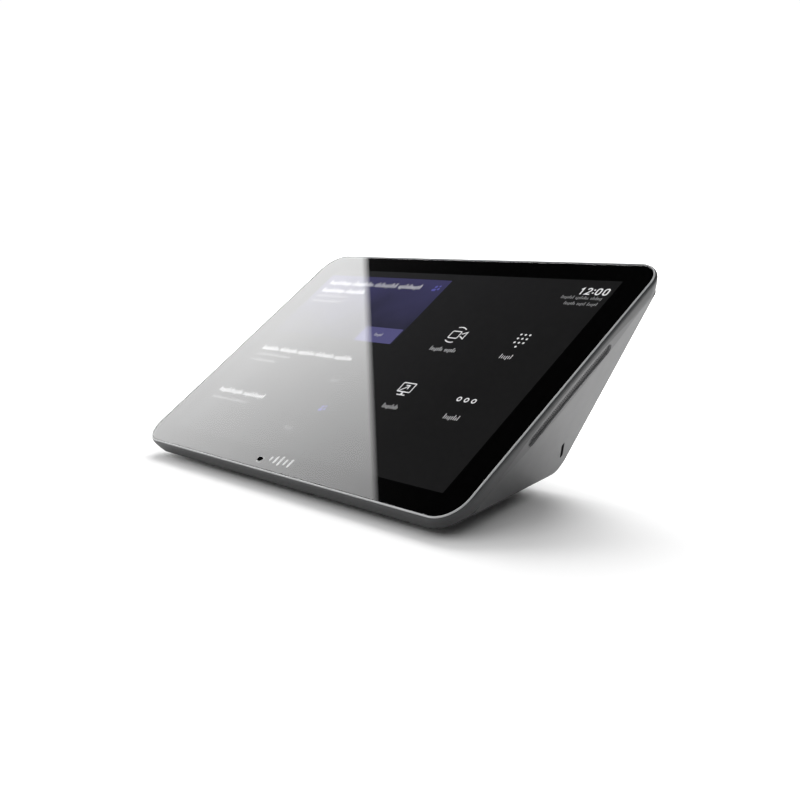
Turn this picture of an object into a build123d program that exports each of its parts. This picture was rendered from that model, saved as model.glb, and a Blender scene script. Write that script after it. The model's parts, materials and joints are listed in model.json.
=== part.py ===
from build123d import *
import os
from math import cos, radians, sin, tan

# Desk touch phone: a flat glass-fronted slab on a roof-shaped wedge body.
#
# Two frames are used. The desk frame has +Z up, +Y to the back and +X to the
# user's right, with the desk surface at Z = 0. The panel frame lies on the
# glass: its x runs along +X, its y up the slope of the glass, its z out of the
# glass. The panel frame's origin is the centre of the screen on the glass face.
# All lengths are millimetres.

# ---- front glass and screen ----
GLASS_W = 195.0
GLASS_H = 127.2
GLASS_T = 1.1
GLASS_R = 10.0
TILT = 36.4              # glass against the desk, and both wedge faces against the glass
ADHESIVE_T = 0.3
TOUCH_T = 0.2
CELL_T = 1.1
CELL_W = 177.0
CELL_H = 112.0
BACKLIGHT_T = 1.4
BACKLIGHT_W = 180.0
BACKLIGHT_H = 114.6
BRACKET_T = 0.8
GLASS_EASE = 0.12
TRIM_GAP = 0.12          # round the glass edge
TRIM_OUT = 0.78          # outer edge of the trim beyond the glass
TRIM_PROUD = 0.15        # above the glass
TRIM_T = 0.4             # below the face of the glass
TRIM_EASE = 0.12
SENSOR_X = -12.5
SENSOR_Y = -59.6
SENSOR_W = 2.9
SENSOR_H = 2.2
SENSOR_R = 0.8

# ---- housing ----
SLAB_T = 5.6             # front of the glass to the back of the slab
BACK_OUT_X = -0.35       # slab outline beyond the glass at its back, left and right
BACK_OUT_Y = 1.0         # and above and below
BACK_R = 13.5
# The slab's rounded side, as depth, outline beyond the glass in x and in y, and corner radius.
SLAB_SECTIONS = [
    (-TRIM_T, 0.84, 0.84, 10.8), (-0.65, 0.93, 0.93, 10.9), (-0.95, 1.0, 1.0, 11.0),
    (-1.4, 1.05, 1.08, 11.2), (-2.0, 0.96, 1.14, 11.5), (-2.9, 0.72, 1.16, 12.0),
    (-3.9, 0.42, 1.12, 12.6), (-4.8, 0.08, 1.07, 13.1), (-SLAB_T, BACK_OUT_X, BACK_OUT_Y, BACK_R),
]
WALL = 2.2
POCKET_IN = 1.2          # display pocket inside the glass outline
BRACKET_SCREWS = [(87.0, 42.0), (-87.0, 42.0), (87.0, -42.0), (-87.0, -42.0)]
BRACKET_BOSS_R = 3.0
VENT_COUNT = 25
VENT_PITCH = 4.4
VENT_LENGTH = 9.0
VENT_W = 1.8
VENT_Z = 58.0
BODY_HALF = 57.0         # half height of the wedge where it meets the slab
FLANK_SLOPE = 0.655      # how fast the flanks close in behind the slab
RIDGE_R = 9.0
FLANK_EDGE_R = 2.2
FRONT_GAP = 2.0          # desk to the lowest edge of the slab

# ---- side grooves and thumb scoops ----
GROOVE_LENGTH = 50.0
GROOVE_W = 4.2
GROOVE_DEPTH = 1.25
GROOVE_TURN = 27.0       # groove floor's facing, turned back from the side
GROOVE_Y = 0.6
SCOOP_HALF = 40.0
SCOOP_DEPTH = 0.42
MESH_T = 0.3

# ---- lock slot ----
LOCK_LENGTH = 7.2
LOCK_W = 1.9
LOCK_Z = -34.6
LOCK_PLATE_T = 1.2
LOCK_PLATE_W = 13.0
LOCK_PLATE_H = 13.8
LOCK_PLATE_UP = 2.0
LOCK_SCREW_X = (-4.0, 4.0)
LOCK_SCREW_UP = 6.7

# ---- plinth, feet and opening in the underside ----
FOOT_T = 1.5
FOOT_R = 6.5
FOOT_SINK = 0.5
FEET_PLACES = [(70.0, -29.5), (-70.0, -29.5), (45.0, 11.5), (-45.0, 11.5)]
PLINTH_FRONT = -38.0
PLINTH_BACK = 20.0
PLINTH_HALF_FRONT = 82.0
PLINTH_HALF_BACK = 60.0
PLINTH_R = 6.0
PLINTH_WALL = 2.0
OPENING_W = 104.0
OPENING_D = 50.0
OPENING_Y = -8.0
SCREW_PLACES = [(57.0, 13.0), (-57.0, 13.0), (59.0, -22.0), (-59.0, -22.0)]
BOSS_R = 3.5
LABEL_W = 62.2
LABEL_D = 24.2
LABEL_Y = -12.0

# ---- main board ----
BOARD_W = 100.0
BOARD_D = 46.0
BOARD_T = 1.6
BOARD_UNDER = 10.8
BOARD_Y = -8.0
STANDOFF_PLACES = [(45.5, 10.5), (-45.5, 10.5), (45.5, -26.5), (-45.5, -26.5)]
STANDOFF_R = 3.0
SOC_X = (-8.0, 8.0)
SOC_Y = (-20.0, -6.0)
SOC_T = 1.2
PAD_T = 0.6
SPREADER_X = (-19.0, 19.0)
SPREADER_Y = (-22.0, -4.5)
SPREADER_T = 1.2
FIN_COUNT = 9
FIN_PITCH = 4.2
FIN_T = 1.0
FIN_H = 3.4
CAN_X = (24.0, 41.0)
CAN_Y = (-21.0, -5.0)
CAN_H = 2.6
CAN_WALL = 0.3
CAPACITOR_PLACES = [(-41.0, 4.0), (-33.0, 4.0), (-43.0, -18.5), (40.0, 1.5)]
CAPACITOR_R = 3.0
CAPACITOR_H = 6.5

# ---- display and touch flexes ----
FLEX_X = {"display": -22.0, "touch": 16.0}
FLEX_W = {"display": 16.0, "touch": 8.0}
FLEX_T = 0.2
FLEX_EXIT = -42.0        # height in the panel frame where they pass the bracket
SOCKET_FRONT = -28.2

# ---- connector recess ----
RECESS_W = 68.0
RECESS_LOW = 10.5
RECESS_HIGH = 32.0
RECESS_WALL = 1.5
PANEL_FACE_Y = 19.0
FIT = 0.1
JACK_X = -15.0
JACK_W = 16.0
JACK_H = 13.5
JACK_LENGTH = 21.3
JACK_MOUTH_W = 11.9
JACK_MOUTH_H = 7.0
JACK_MOUTH_DEPTH = 14.0
JACK_MOUTH_UP = 4.4      # board to the floor of the mouth
SOCKET_PROUD = 0.3       # sockets stand out of the connector panel
LATCH_W = 6.2
LATCH_H = 2.4
CONTACT_COUNT = 8
CONTACT_PITCH = 1.02
CONTACT_DROP = 2.2
USB_X = 8.0
USB_W = 8.94
USB_H = 3.2
USB_LENGTH = 8.0
USB_WALL = 0.3
RESET_X = 23.0
RESET_Z = 17.0
RESET_R = 1.7
RESET_TRAVEL = 0.6       # how far the button goes in
STEM_TIP_Y = 13.4

# ---- speakers ----
SPEAKER_IN = 66.0
SPEAKER_OUT = 84.0
SPEAKER_HALF = 20.0
SPEAKER_TOP = -8.0
SPEAKER_LOW = -20.0
CONE_LENGTH = 30.0
CONE_W = 8.0
GASKET_T = 2.0
MICROPHONE_Y = (-33.0, -25.0)

SLOPE = tan(radians(TILT))
SINE = sin(radians(TILT))
COSINE = cos(radians(TILT))
BODY_HALF_W = GLASS_W / 2 + BACK_OUT_X
RIDGE_Z = -SLAB_T - BODY_HALF * SLOPE
SCREEN_BACK = -GLASS_T - ADHESIVE_T
CELL_BACK = -GLASS_T - TOUCH_T - CELL_T
BACKLIGHT_BACK = CELL_BACK - BACKLIGHT_T
LEDGE_Z = BACKLIGHT_BACK - BRACKET_T
SCREEN_Z = FRONT_GAP + (GLASS_H / 2 + BACK_OUT_Y) * SINE + SLAB_T * COSINE
UNDERSIDE = SCREEN_Z - BODY_HALF * SINE - SLAB_T * COSINE
BOARD_TOP = BOARD_UNDER + BOARD_T
SOCKET_FACE_Y = PANEL_FACE_Y + SOCKET_PROUD
MOUTH_FLOOR = BOARD_TOP + JACK_MOUTH_UP
USB_Z = BOARD_TOP + USB_H / 2 + FIT
FLEX_LOW = BOARD_TOP + 0.7
PANEL = Plane(origin=(0, 0, SCREEN_Z), x_dir=(1, 0, 0), z_dir=(0, -SINE, COSINE))
SIDES = {"left": -1, "right": 1}


def on_panel(shape):
    """Takes a shape from the panel frame to the desk frame."""
    return PANEL.location * shape


def plate(width, height, radius, high, low, x=0.0, y=0.0):
    """A rounded rectangular block between two heights."""
    outline = Plane.XY.offset(low) * Pos(x, y) * RectangleRounded(width, height, radius)
    return extrude(outline, amount=high - low)


def glass_plate(out, high, low):
    """A plate with the glass's outline, grown all round."""
    return plate(GLASS_W + 2 * out, GLASS_H + 2 * out, GLASS_R + out, high, low)


def block(x_span, y_span, z_span):
    """A box between two corners."""
    middle = [(low + high) / 2 for low, high in (x_span, y_span, z_span)]
    size = [high - low for low, high in (x_span, y_span, z_span)]
    return Pos(*middle) * Box(*size)


def group(shapes):
    """Several separate solids that share one node."""
    return Compound([solid for shape in shapes for solid in shape.solids()])


def rod(radius, x, y, low, high):
    """An upright cylinder."""
    return Pos(x, y, (low + high) / 2) * Cylinder(radius, high - low)


def rod_along_y(radius, x, z, near, far):
    """A cylinder that runs front to back."""
    return Pos(x, (near + far) / 2, z) * Rot(90, 0, 0) * Cylinder(radius, far - near)


def flank_half_width(depth, wall=0.0):
    """Half width of the wedge at a panel depth, inside a wall of that thickness."""
    across = wall * (1 + FLANK_SLOPE ** 2) ** 0.5
    return BODY_HALF_W - FLANK_SLOPE * (-depth - SLAB_T) - across


def roof(wall, start, ridge_r):
    """The roof-shaped wedge in the panel frame, set in by a wall thickness."""
    ridge = RIDGE_Z + wall / COSINE
    half = (start - ridge) / SLOPE
    gable = make_face(Polyline((-half, start), (0, ridge), (half, start), close=True))
    gable = fillet(gable.vertices().sort_by(Axis.Y)[0], ridge_r)
    prism = extrude(Plane.YZ * gable, amount=BODY_HALF_W, both=True)
    wide = flank_half_width(start, wall)
    narrow = flank_half_width(ridge, wall)
    taper = make_face(Polyline((-wide, start), (-narrow, ridge), (narrow, ridge), (wide, start), close=True))
    return prism & extrude(Plane.XZ * taper, amount=half, both=True)


def slab():
    """The slab behind the trim, with sides that round over towards its back."""
    sections = []
    for depth, out_x, out_y, radius in SLAB_SECTIONS:
        outline = RectangleRounded(GLASS_W + 2 * out_x, GLASS_H + 2 * out_y, radius)
        sections.append(Plane.XY.offset(depth) * outline)
    return loft(sections, ruled=True)


def wedge():
    """The wedge body with its flank edges eased and its corners inside the slab's outline."""
    body = roof(0.0, -SLAB_T, RIDGE_R)
    flanks = [body.faces().sort_by(Axis.X)[0], body.faces().sort_by(Axis.X)[-1]]
    edges = [edge for flank in flanks for edge in flank.edges() if edge.center().Z < -SLAB_T - 1]
    body = fillet(edges, FLANK_EDGE_R)
    outline = plate(GLASS_W + 2 * BACK_OUT_X, GLASS_H + 2 * BACK_OUT_Y, BACK_R, -SLAB_T, RIDGE_Z)
    return body & outline


def groove_plane(side):
    """A plane on the crease of one flank that faces out of the groove."""
    turn = radians(GROOVE_TURN)
    return Plane(origin=(side * BODY_HALF_W, GROOVE_Y, -SLAB_T), x_dir=(0, 1, 0),
                 z_dir=(side * cos(turn), 0, -sin(turn)))


def groove_pill(side, length, width, high, low):
    """A pill-shaped block on the groove plane, between two heights over the crease."""
    outline = groove_plane(side).offset(low) * SlotOverall(length, width)
    return extrude(outline, amount=high - low)


def scoop(side):
    """A long shallow thumb scoop that fades out along the crease."""
    radius = SCOOP_HALF ** 2 / (2 * SCOOP_DEPTH)
    reach = SCOOP_HALF + 5
    wheel = groove_plane(side) * Pos(0, 0, radius - SCOOP_DEPTH) * Rot(90, 0, 0) * Cylinder(radius, 24)
    near = groove_plane(side) * Box(2 * reach, 30, 8)
    return wheel & near


def outer_form():
    """The housing's outside, not yet hollowed, in the panel frame."""
    form = slab() + wedge()
    for side in SIDES.values():
        form -= scoop(side)
    return form


def housing():
    form = outer_form()
    form -= glass_plate(TRIM_GAP, 1, SCREEN_BACK)
    form -= glass_plate(-POCKET_IN, 1, LEDGE_Z)
    form -= roof(WALL, LEDGE_Z, RIDGE_R - WALL)
    for x, y in BRACKET_SCREWS:
        boss = rod(BRACKET_BOSS_R, x, y, LEDGE_Z - 7.3, LEDGE_Z)
        form += boss & roof(WALL / 2, LEDGE_Z, RIDGE_R)
        form -= rod(1.0, x, y, LEDGE_Z - 6.3, LEDGE_Z)
    for side in SIDES.values():
        form -= groove_pill(side, GROOVE_LENGTH, GROOVE_W, 3, -GROOVE_DEPTH)
    form -= lock_slot()
    form = on_panel(form)
    form -= plate(OPENING_W, OPENING_D, 3, UNDERSIDE + WALL + 1, 0, y=OPENING_Y)
    form -= block((-RECESS_W / 2, RECESS_W / 2), (PANEL_FACE_Y - RECESS_WALL, 60), (RECESS_LOW, RECESS_HIGH))
    for x, y in SCREW_PLACES:
        form += rod(BOSS_R, x, y, UNDERSIDE + WALL / 2, 14)
        form -= rod(1.2, x, y, 0, 13)
    for index in range(VENT_COUNT):
        form -= Pos((index - VENT_COUNT // 2) * VENT_PITCH, 0, 0) * vent_slot()
    return form


def vent_slot():
    """One upright cooling slot, cut straight through the upper back wall."""
    outline = Plane.XZ * Pos(0, VENT_Z) * Rot(0, 0, 90) * SlotOverall(VENT_LENGTH, VENT_W)
    return extrude(outline, amount=-60)


def trim_ring():
    ring = glass_plate(TRIM_OUT, TRIM_PROUD, -TRIM_T)
    top = ring.faces().sort_by(Axis.Z)[-1]
    ring = chamfer(top.edges(), TRIM_EASE)
    return on_panel(ring - glass_plate(TRIM_GAP, 1, -TRIM_T - 1))


def sensor_pill(grow, high, low):
    return plate(SENSOR_W + 2 * grow, SENSOR_H + 2 * grow, SENSOR_R + grow, high, low, SENSOR_X, SENSOR_Y)


def cover_glass():
    glass = glass_plate(0, 0, -GLASS_T)
    glass = chamfer(glass.faces().sort_by(Axis.Z)[-1].edges(), GLASS_EASE)
    return on_panel(glass - sensor_pill(0, 1, -GLASS_T - 1))


def glass_adhesive():
    ring = glass_plate(-0.4, -GLASS_T, SCREEN_BACK)
    ring -= plate(BACKLIGHT_W + 3, BACKLIGHT_H + 2.4, 2, 0, -5)
    return on_panel(ring - sensor_pill(0.4, 0, -5))


def display_carrier():
    ring = glass_plate(-POCKET_IN - 0.1, SCREEN_BACK, BACKLIGHT_BACK)
    ring -= plate(BACKLIGHT_W + 0.6, BACKLIGHT_H + 0.6, 1.5, 0, -5)
    ring -= plate(11.0, 5.0, 0.5, 0, -5, SENSOR_X, SENSOR_Y)
    return on_panel(ring)


def touch_sensor():
    return on_panel(plate(CELL_W + 1, CELL_H + 1, 1, -GLASS_T, -GLASS_T - TOUCH_T))


def display_cell():
    return on_panel(plate(CELL_W, CELL_H, 0.8, -GLASS_T - TOUCH_T, CELL_BACK))


def backlight_unit():
    return on_panel(plate(BACKLIGHT_W, BACKLIGHT_H, 1.2, CELL_BACK, BACKLIGHT_BACK))


def display_bracket():
    sheet = plate(GLASS_W - 5, GLASS_H - 5.2, 7, BACKLIGHT_BACK, LEDGE_Z)
    for x in (-52, 0, 52):
        sheet -= plate(34, 62, 6, 0, -6, x=x)
    for name, x in FLEX_X.items():
        sheet -= plate(FLEX_W[name] + 1.4, 2.4, 0.6, 0, -6, x=x, y=FLEX_EXIT)
    for x, y in BRACKET_SCREWS:
        sheet -= rod(1.2, x, y, -6, 0)
    return on_panel(sheet)


def bracket_screws():
    """Flush screws through the bracket's corners into the housing's bosses."""
    return on_panel(group([rod(0.95, x, y, LEDGE_Z - 4.9, BACKLIGHT_BACK) for x, y in BRACKET_SCREWS]))


def sensor_lens():
    return on_panel(sensor_pill(-0.06, -0.04, SCREEN_BACK - 0.2))


def sensor_board():
    board = block((SENSOR_X - 5, SENSOR_X + 5), (SENSOR_Y - 2.3, SENSOR_Y + 2.3), (-3.5, -2.7))
    chip = block((SENSOR_X - 1.5, SENSOR_X + 1.5), (SENSOR_Y - 1.2, SENSOR_Y + 1.2), (-2.7, SCREEN_BACK - 0.2))
    return on_panel(board + chip)


def slot_mesh(side):
    top = MESH_T - GROOVE_DEPTH
    return on_panel(groove_pill(side, GROOVE_LENGTH - 0.2, GROOVE_W - 0.2, top, -GROOVE_DEPTH))


def mirror_span(side, inner, outer):
    return tuple(sorted((side * inner, side * outer)))


def speaker(side):
    """A sealed box speaker with its cone facing the side groove."""
    span = mirror_span(side, SPEAKER_IN, SPEAKER_OUT)
    box = block(span, (-SPEAKER_HALF, SPEAKER_HALF), (SPEAKER_LOW, SPEAKER_TOP))
    box = fillet(box.edges().filter_by(Axis.X), 2)
    mouth = Plane.YZ.offset(side * (SPEAKER_OUT - 1.2)) * Pos(0, (SPEAKER_TOP + SPEAKER_LOW) / 2)
    mouth = extrude(mouth * SlotOverall(CONE_LENGTH, CONE_W), amount=side * 5)
    return on_panel(box - mouth)


def speaker_gasket(side):
    """A foam ring between the speaker and the flank wall."""
    middle = (SPEAKER_TOP + SPEAKER_LOW) / 2
    face = Plane.YZ.offset(side * SPEAKER_OUT) * Pos(0, middle + 1)
    ring = RectangleRounded(CONE_LENGTH + 6, CONE_W + 2, 3) - RectangleRounded(CONE_LENGTH + 1, CONE_W - 2, 2)
    return on_panel(extrude(face * ring, amount=side * GASKET_T))


def microphone(side):
    """A microphone on its own little board at the foot of the groove."""
    span = mirror_span(side, 86, 90)
    front, back = MICROPHONE_Y
    board = block(span, (front, back), (LEDGE_Z - 2.6, LEDGE_Z - 1.8))
    can = block(mirror_span(side, 86.5, 89.5), (front + 2, back - 2), (LEDGE_Z - 1.8, LEDGE_Z - 0.8))
    return on_panel(board + can)


def lock_slot():
    """The block that cuts the lock slot through the right flank, in the panel frame."""
    outline = Plane.YZ.offset(BODY_HALF_W / 2) * Pos(0, LOCK_Z) * RectangleRounded(LOCK_W, LOCK_LENGTH, 0.6)
    return extrude(outline, amount=BODY_HALF_W)


def lock_plate_frame():
    """The plane on the inside of the right flank, level with the lock slot."""
    inner = flank_half_width(LOCK_Z, WALL)
    return Plane(origin=(inner, 0, LOCK_Z), x_dir=(0, 1, 0), z_dir=(1, 0, -FLANK_SLOPE))


def lock_disc(x, radius, low, high):
    """A disc on the lock plate's plane, between two heights over the flank's inner face."""
    return extrude(lock_plate_frame().offset(low) * Pos(x, LOCK_SCREW_UP) * Circle(radius), amount=high - low)


def lock_bracket():
    outline = lock_plate_frame() * Pos(0, LOCK_PLATE_UP) * RectangleRounded(LOCK_PLATE_W, LOCK_PLATE_H, 1.5)
    sheet = extrude(outline, amount=-LOCK_PLATE_T)
    sheet -= lock_slot()
    for x in LOCK_SCREW_X:
        sheet -= lock_disc(x, 1.0, -3, 3)
    return on_panel(sheet)


def lock_bracket_screws():
    screws = []
    for x in LOCK_SCREW_X:
        shank = lock_disc(x, 0.95, -LOCK_PLATE_T, 0)
        screws.append(shank + lock_disc(x, 1.8, -LOCK_PLATE_T - 1.1, -LOCK_PLATE_T))
    return on_panel(group(screws))


def plinth_outline(inset):
    front = PLINTH_FRONT + inset
    back = PLINTH_BACK - inset
    corners = [(-PLINTH_HALF_FRONT + inset, front), (PLINTH_HALF_FRONT - inset, front),
               (PLINTH_HALF_BACK - inset, back), (-PLINTH_HALF_BACK + inset, back)]
    face = make_face(Polyline(*corners, close=True))
    return fillet(face.vertices(), PLINTH_R - inset)


def base_plate():
    plinth = extrude(Plane.XY.offset(FOOT_T) * plinth_outline(0), amount=UNDERSIDE - FOOT_T)
    bottom = plinth.faces().sort_by(Axis.Z)[0]
    plinth = chamfer(bottom.edges(), 0.8)
    plinth -= extrude(Plane.XY.offset(FOOT_T + PLINTH_WALL) * plinth_outline(PLINTH_WALL), amount=20)
    rim = plate(OPENING_W - 0.4, OPENING_D - 0.4, 2.8, UNDERSIDE + WALL, FOOT_T + 1, y=OPENING_Y)
    rim -= plate(OPENING_W - 4, OPENING_D - 4, 1.2, 20, FOOT_T + PLINTH_WALL, y=OPENING_Y)
    plinth += rim
    for x, y in STANDOFF_PLACES:
        plinth += rod(STANDOFF_R, x, y, FOOT_T + 1, BOARD_UNDER)
        plinth -= rod(1.1, x, y, FOOT_T + PLINTH_WALL, BOARD_UNDER + 1)
    for x, y in SCREW_PLACES:
        plinth += rod(3.6, x, y, FOOT_T + 1, UNDERSIDE)
        plinth -= rod(1.5, x, y, 0, 20)
        plinth -= rod(2.8, x, y, 0, FOOT_T + 2.4)
    for x, y in FEET_PLACES:
        plinth -= rod(FOOT_R + 0.1, x, y, 0, FOOT_T + FOOT_SINK)
    return plinth - plate(LABEL_W + 0.4, LABEL_D + 0.4, 1.6, FOOT_T + 0.3, 0, y=LABEL_Y)


def rubber_feet():
    feet = []
    for x, y in FEET_PLACES:
        foot = rod(FOOT_R, x, y, 0, FOOT_T + FOOT_SINK)
        feet.append(fillet(foot.edges().sort_by(Axis.Z)[0], 0.5))
    return group(feet)


def base_screws():
    screws = []
    for x, y in SCREW_PLACES:
        head = rod(2.5, x, y, FOOT_T + 1.0, FOOT_T + 2.4)
        head -= Pos(x, y, FOOT_T + 1.0) * Box(2.6, 0.6, 0.9)
        head -= Pos(x, y, FOOT_T + 1.0) * Box(0.6, 2.6, 0.9)
        screws.append(head + rod(1.1, x, y, FOOT_T + 2.4, 12))
    return group(screws)


def rating_label():
    return plate(LABEL_W, LABEL_D, 1.4, FOOT_T + 0.3, FOOT_T + 0.12, y=LABEL_Y)


def main_board():
    board = plate(BOARD_W, BOARD_D, 2, BOARD_TOP, BOARD_UNDER, y=BOARD_Y)
    for x, y in STANDOFF_PLACES:
        board -= rod(1.2, x, y, 0, 20)
    return board


def board_screws():
    screws = []
    for x, y in STANDOFF_PLACES:
        screws.append(rod(2.2, x, y, BOARD_TOP, BOARD_TOP + 1.3) + rod(1.0, x, y, FOOT_T + 3, BOARD_TOP))
    return group(screws)


def inside(span, step):
    """A span drawn in by a step at both ends."""
    return span[0] + step, span[1] - step


def soc_package():
    return block(SOC_X, SOC_Y, (BOARD_TOP, BOARD_TOP + SOC_T))


def thermal_pad():
    low = BOARD_TOP + SOC_T
    return block(inside(SOC_X, 1), inside(SOC_Y, 1), (low, low + PAD_T))


def heat_spreader():
    low = BOARD_TOP + SOC_T + PAD_T
    high = low + SPREADER_T
    spreader = block(SPREADER_X, SPREADER_Y, (low, high))
    for index in range(FIN_COUNT):
        x = (index - FIN_COUNT // 2) * FIN_PITCH
        fin = (x - FIN_T / 2, x + FIN_T / 2)
        spreader += block(fin, (SPREADER_Y[0] + 5, SPREADER_Y[1]), (high, high + FIN_H))
    return spreader


def memory_chips():
    low = BOARD_TOP
    chips = [block((x - 4, x + 4), (-20, -14), (low, low + 0.9)) for x in (-13.5, 13.5)]
    chips.append(block((-4, 4), (-3.5, 1.0), (low, low + 0.9)))
    return group(chips)


def shield_can():
    can = fillet(block(CAN_X, CAN_Y, (BOARD_TOP, BOARD_TOP + CAN_H)).edges().filter_by(Axis.Z), 1)
    hollow = (BOARD_TOP - 1, BOARD_TOP + CAN_H - CAN_WALL)
    return can - block(inside(CAN_X, CAN_WALL), inside(CAN_Y, CAN_WALL), hollow)


def wifi_module():
    return block(inside(CAN_X, 2.5), inside(CAN_Y, 2), (BOARD_TOP, BOARD_TOP + 1.6))


def wifi_antenna():
    """A folded strip antenna that stands along the front edge of the board."""
    foot = block((24, 36), (-29.5, -26.5), (BOARD_TOP, BOARD_TOP + 0.4))
    blade = block((24, 42), (-27, -26.5), (BOARD_TOP + 0.4, BOARD_TOP + 3.4))
    return foot + blade


def poe_transformer():
    low = BOARD_TOP
    core = block((-42, -29), (-13, -1), (low, low + 9.0))
    window = block((-38.5, -32.5), (-14, 0), (low + 2, low + 7.0))
    coil = rod(2.9, -35.5, -7, low + 2, low + 7)
    return core - window + coil


def board_capacitors():
    caps = []
    for x, y in CAPACITOR_PLACES:
        can = rod(CAPACITOR_R, x, y, BOARD_TOP, BOARD_TOP + CAPACITOR_H)
        caps.append(fillet(can.edges().sort_by(Axis.Z)[-1], 0.5))
    return group(caps)


def flex_connectors():
    sockets = []
    for name, x in FLEX_X.items():
        half = FLEX_W[name] / 2 + 2
        socket = block((x - half, x + half), (SOCKET_FRONT, SOCKET_FRONT + 3.2), (BOARD_TOP, BOARD_TOP + 1.6))
        slit = block((x - half + 1.9, x + half - 1.9), (SOCKET_FRONT - 1, SOCKET_FRONT + 2.4),
                     (FLEX_LOW - 0.1, FLEX_LOW + FLEX_T + 0.1))
        sockets.append(socket - slit)
    return group(sockets)


def panel_to_desk(height, depth):
    """Desk-frame Y and Z of a point in the panel frame's middle plane."""
    return height * COSINE - depth * SINE, SCREEN_Z + height * SINE + depth * COSINE


def flex(name):
    """A flat flex from the back of the display, through the bracket, into its socket."""
    top_y, top_z = panel_to_desk(FLEX_EXIT, BACKLIGHT_BACK)
    bend_y, bend_z = panel_to_desk(FLEX_EXIT, BACKLIGHT_BACK - 2.6)
    foot_y = SOCKET_FRONT - 1.4
    tip_y = SOCKET_FRONT + 2.2
    high = FLEX_LOW + FLEX_T
    ribbon = make_face(Polyline(
        (top_y, top_z), (bend_y, bend_z), (foot_y, FLEX_LOW), (tip_y, FLEX_LOW),
        (tip_y, high), (foot_y + FLEX_T, high), (bend_y + FLEX_T, bend_z), (top_y + FLEX_T, top_z), close=True))
    return extrude(Plane.YZ.offset(FLEX_X[name] - FLEX_W[name] / 2) * ribbon, amount=FLEX_W[name])


def jack_box(grow_w, grow_h, near, far):
    return block((JACK_X - JACK_W / 2 - grow_w, JACK_X + JACK_W / 2 + grow_w), (near, far),
                 (BOARD_TOP - grow_h, BOARD_TOP + JACK_H + grow_h))


def ethernet_jack():
    body = jack_box(0, 0, SOCKET_FACE_Y - JACK_LENGTH, SOCKET_FACE_Y)
    span = (SOCKET_FACE_Y - JACK_MOUTH_DEPTH, SOCKET_FACE_Y + 1)
    mouth = block((JACK_X - JACK_MOUTH_W / 2, JACK_X + JACK_MOUTH_W / 2), span,
                  (MOUTH_FLOOR, MOUTH_FLOOR + JACK_MOUTH_H))
    latch = block((JACK_X - LATCH_W / 2, JACK_X + LATCH_W / 2), span,
                  (MOUTH_FLOOR - LATCH_H, MOUTH_FLOOR + 0.1))
    return body - mouth - latch


def ethernet_contacts():
    """Eight sprung wires that slope down from the roof of the jack's mouth."""
    front = SOCKET_FACE_Y - 3.4
    tip = SOCKET_FACE_Y - 12
    top = MOUTH_FLOOR + JACK_MOUTH_H
    wires = []
    for index in range(CONTACT_COUNT):
        x = JACK_X + (index - (CONTACT_COUNT - 1) / 2) * CONTACT_PITCH
        side = make_face(Polyline(
            (front - 0.6, top), (tip, top - CONTACT_DROP), (tip, top - CONTACT_DROP - 0.3),
            (front, top - 0.1), (front, top), close=True))
        wires.append(extrude(Plane.YZ.offset(x - 0.2) * side, amount=0.4))
    return group(wires)


def usb_pill(shrink, near, far):
    outline = SlotOverall(USB_W - 2 * shrink, USB_H - 2 * shrink)
    return Pos(0, near, 0) * extrude(Plane.XZ * Pos(USB_X, USB_Z) * outline, amount=near - far)


def usb_c_jack():
    shell = usb_pill(0, SOCKET_FACE_Y - USB_LENGTH, SOCKET_FACE_Y)
    shell -= usb_pill(USB_WALL, SOCKET_FACE_Y - USB_LENGTH + 1, SOCKET_FACE_Y + 1)
    for x in (USB_X - 2.6, USB_X + 2.6):
        leg = (SOCKET_FACE_Y - 7, SOCKET_FACE_Y - 5.5)
        shell += block((x - 0.6, x + 0.6), leg, (BOARD_TOP, BOARD_TOP + 0.5))
    return shell


def usb_c_tongue():
    span = (SOCKET_FACE_Y - USB_LENGTH + 1, SOCKET_FACE_Y - 0.8)
    return block((USB_X - 3.3, USB_X + 3.3), span, (USB_Z - 0.35, USB_Z + 0.35))


def io_recess():
    """The open-backed tub that carries the connector panel, trimmed flush with the back face."""
    half = RECESS_W / 2 - FIT
    low = RECESS_LOW + FIT
    high = RECESS_HIGH - FIT
    tub = block((-half, half), (PANEL_FACE_Y - RECESS_WALL, 60), (low, high))
    tub -= block(inside((-half, half), RECESS_WALL), (PANEL_FACE_Y, 61), inside((low, high), RECESS_WALL))
    tub = tub & on_panel(outer_form())
    tub -= jack_box(0.2, 0.2, 10, 25)
    tub -= usb_pill(-0.25, 10, 25)
    tub -= rod_along_y(RESET_R + FIT, RESET_X, RESET_Z, 10, 25)
    return tub


def reset_switch():
    body = block((RESET_X - 3, RESET_X + 3), (8, 14), (BOARD_TOP, RESET_Z + 3))
    return body - rod_along_y(1.25, RESET_X, RESET_Z, STEM_TIP_Y - RESET_TRAVEL - 0.6, 15)


def reset_button():
    """Cap, flange behind the panel, and stem that enters the switch."""
    back = PANEL_FACE_Y - RECESS_WALL
    cap = rod_along_y(RESET_R, RESET_X, RESET_Z, back - 1.0, PANEL_FACE_Y - 0.4)
    cap = fillet(cap.edges().sort_by(Axis.Y)[-1], 0.3)
    flange = rod_along_y(RESET_R + 0.9, RESET_X, RESET_Z, back - 1.05, back - 0.05)
    return cap + flange + rod_along_y(1.1, RESET_X, RESET_Z, STEM_TIP_Y, back - 1.0)


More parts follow.
